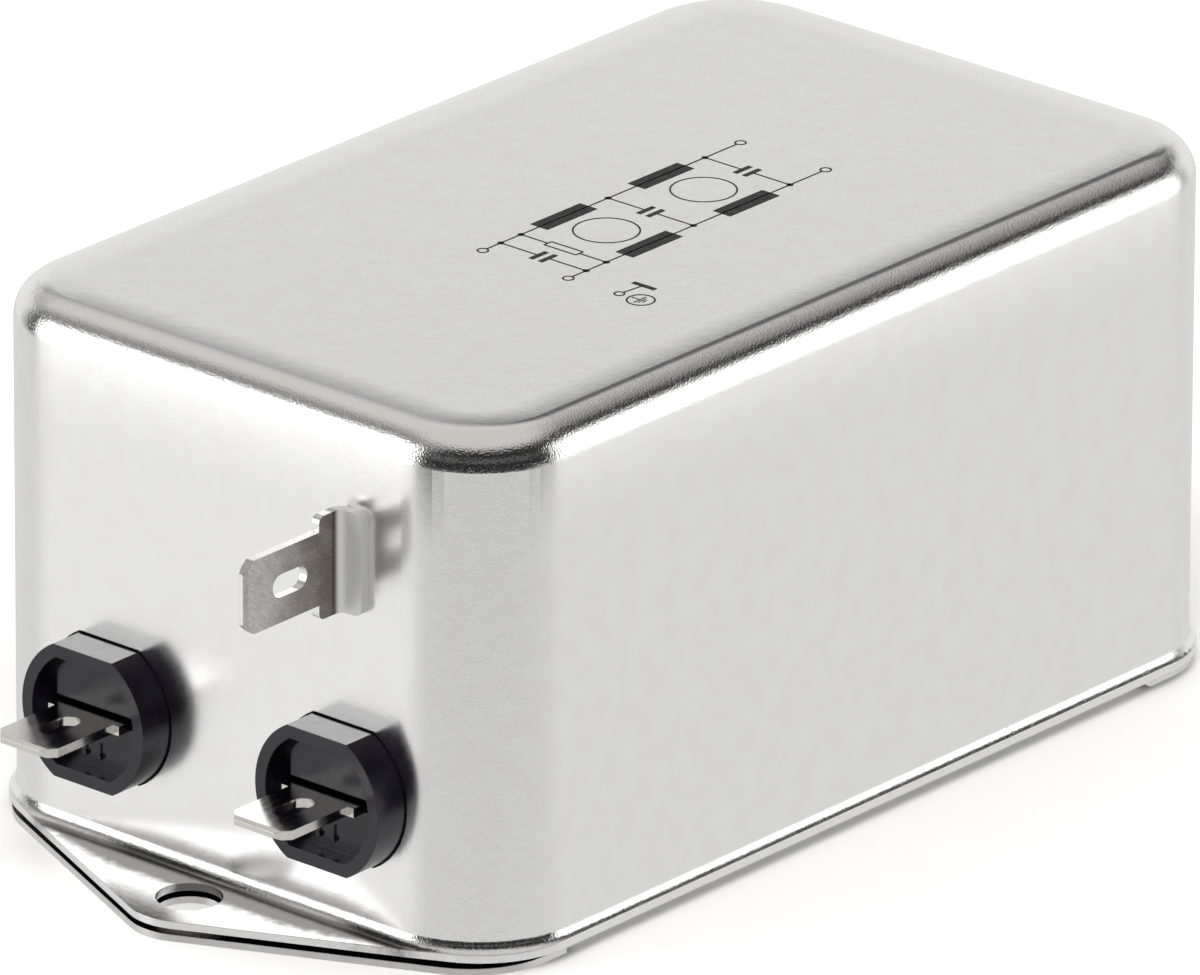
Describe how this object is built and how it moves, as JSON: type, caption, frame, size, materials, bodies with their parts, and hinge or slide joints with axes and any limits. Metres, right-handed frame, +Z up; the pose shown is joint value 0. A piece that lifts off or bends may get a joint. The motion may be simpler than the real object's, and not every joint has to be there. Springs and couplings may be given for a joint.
{
  "type": "mains filter",
  "caption": "Two-stage mains interference filter in a drawn steel can, with blade tabs at both ends, an earth tab and two mounting ears.",
  "frame": {"origin": "midway between the two mounting holes, on the underside of the base plate", "axes": "+Z up from the mounting face, +Y from the line end to the load end, +X to the side of the earth tab"},
  "size_m": [0.0576, 0.1163, 0.0463],
  "materials": {
    "can_steel": "satin tin or nickel plate with fine grain",
    "base_steel": "satin plated sheet",
    "insulator_plastic": "glossy moulded thermoplastic",
    "tab_metal": "bright tin plate",
    "earth_tab_metal": "tin plate, slightly dull",
    "insulating_film": "thin insulating film",
    "board_laminate": "glass laminate",
    "copper": "copper foil",
    "solder": "solder",
    "core_coating": "coated ferrite ring",
    "carrier_plastic": "moulded carrier",
    "winding_wire": "enamelled copper wire",
    "capacitor_case": "moulded capacitor case",
    "resistor_lacquer": "lacquered resistor body"
  },
  "bodies": {
    "root": {"can": "can_steel", "base_plate": "base_steel", "insulating_sheet": "insulating_film", "liner": "insulating_film", "circuit_board": "board_laminate", "copper_areas": "copper", "solder_joints": "solder", "line_insulator_p": "insulator_plastic", "line_insulator_n": "insulator_plastic", "load_insulator_p": "insulator_plastic", "load_insulator_n": "insulator_plastic", "line_tab_p": "tab_metal", "line_tab_n": "tab_metal", "load_tab_p": "tab_metal", "load_tab_n": "tab_metal", "earth_tab": "earth_tab_metal", "line_choke_core": "core_coating", "load_choke_core": "core_coating", "line_choke_carrier": "carrier_plastic", "load_choke_carrier": "carrier_plastic", "line_choke_divider": "carrier_plastic", "load_choke_divider": "carrier_plastic", "line_winding_p": "winding_wire", "line_winding_n": "winding_wire", "load_winding_p": "winding_wire", "load_winding_n": "winding_wire", "line_capacitor": "capacitor_case", "middle_capacitor": "capacitor_case", "load_capacitor": "capacitor_case", "bleed_resistor": "resistor_lacquer"}
  },
  "joints": []
}
